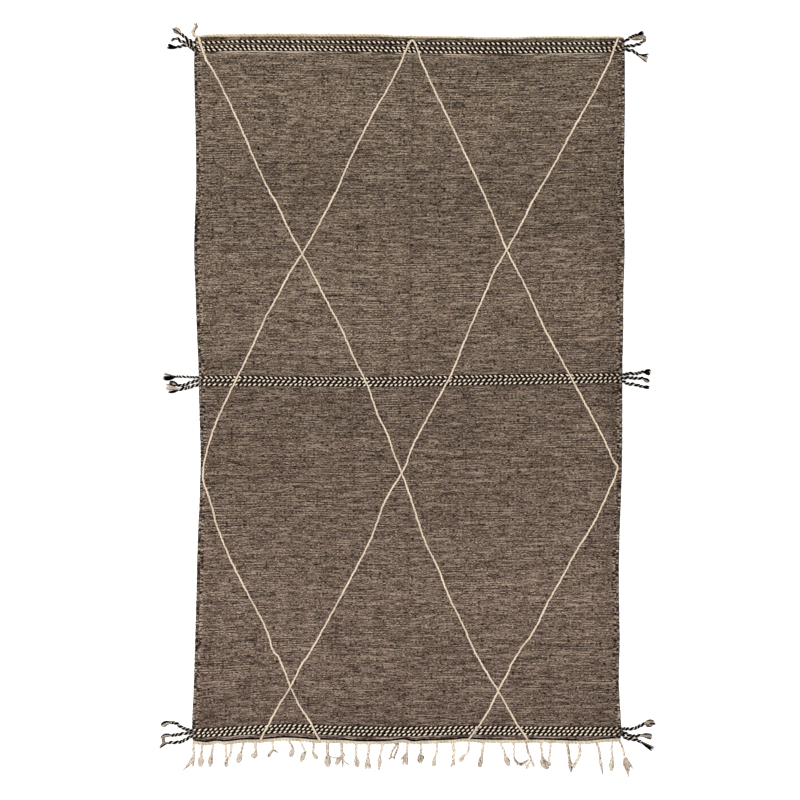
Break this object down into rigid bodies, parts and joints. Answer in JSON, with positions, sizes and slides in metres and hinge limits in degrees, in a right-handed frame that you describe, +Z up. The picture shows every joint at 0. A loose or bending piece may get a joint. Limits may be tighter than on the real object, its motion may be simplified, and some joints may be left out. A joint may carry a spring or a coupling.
{
  "type": "zanafi rug",
  "caption": "Flat-woven wool floor rug with twined bands, a raised cream diamond lattice, loose twisted ties at both edges and a knotted fringe at one end.",
  "frame": {"origin": "middle of the cloth's underside, on the surface that the rug lies on", "axes": "+Y along the rug's length, away from the fringe; +X across it, to the right as seen from above with the fringe at the bottom; +Z up, out of the face with the lattice"},
  "size_m": [1.9834, 3.0212, 0.012],
  "materials": {
    "cloth_brown": "matte",
    "heading_cream": "matte",
    "fringe_cream": "matte",
    "twined_black_cream": "matte",
    "lattice_cream": "matte"
  },
  "bodies": {
    "root": {"cloth": "cloth_brown", "top_heading": "heading_cream", "bottom_heading_fringe": "fringe_cream", "twined_cord_top_first": "twined_black_cream", "twined_cord_top_second": "twined_black_cream", "twined_cord_top_third": "twined_black_cream", "twined_cord_middle_first": "twined_black_cream", "twined_cord_middle_second": "twined_black_cream", "twined_cord_middle_third": "twined_black_cream", "twined_cord_bottom_first": "twined_black_cream", "twined_cord_bottom_second": "twined_black_cream", "twined_cord_bottom_third": "twined_black_cream", "lattice_line_zigzag": "lattice_cream", "lattice_line_falling": "lattice_cream", "lattice_line_rising": "lattice_cream"}
  },
  "joints": []
}
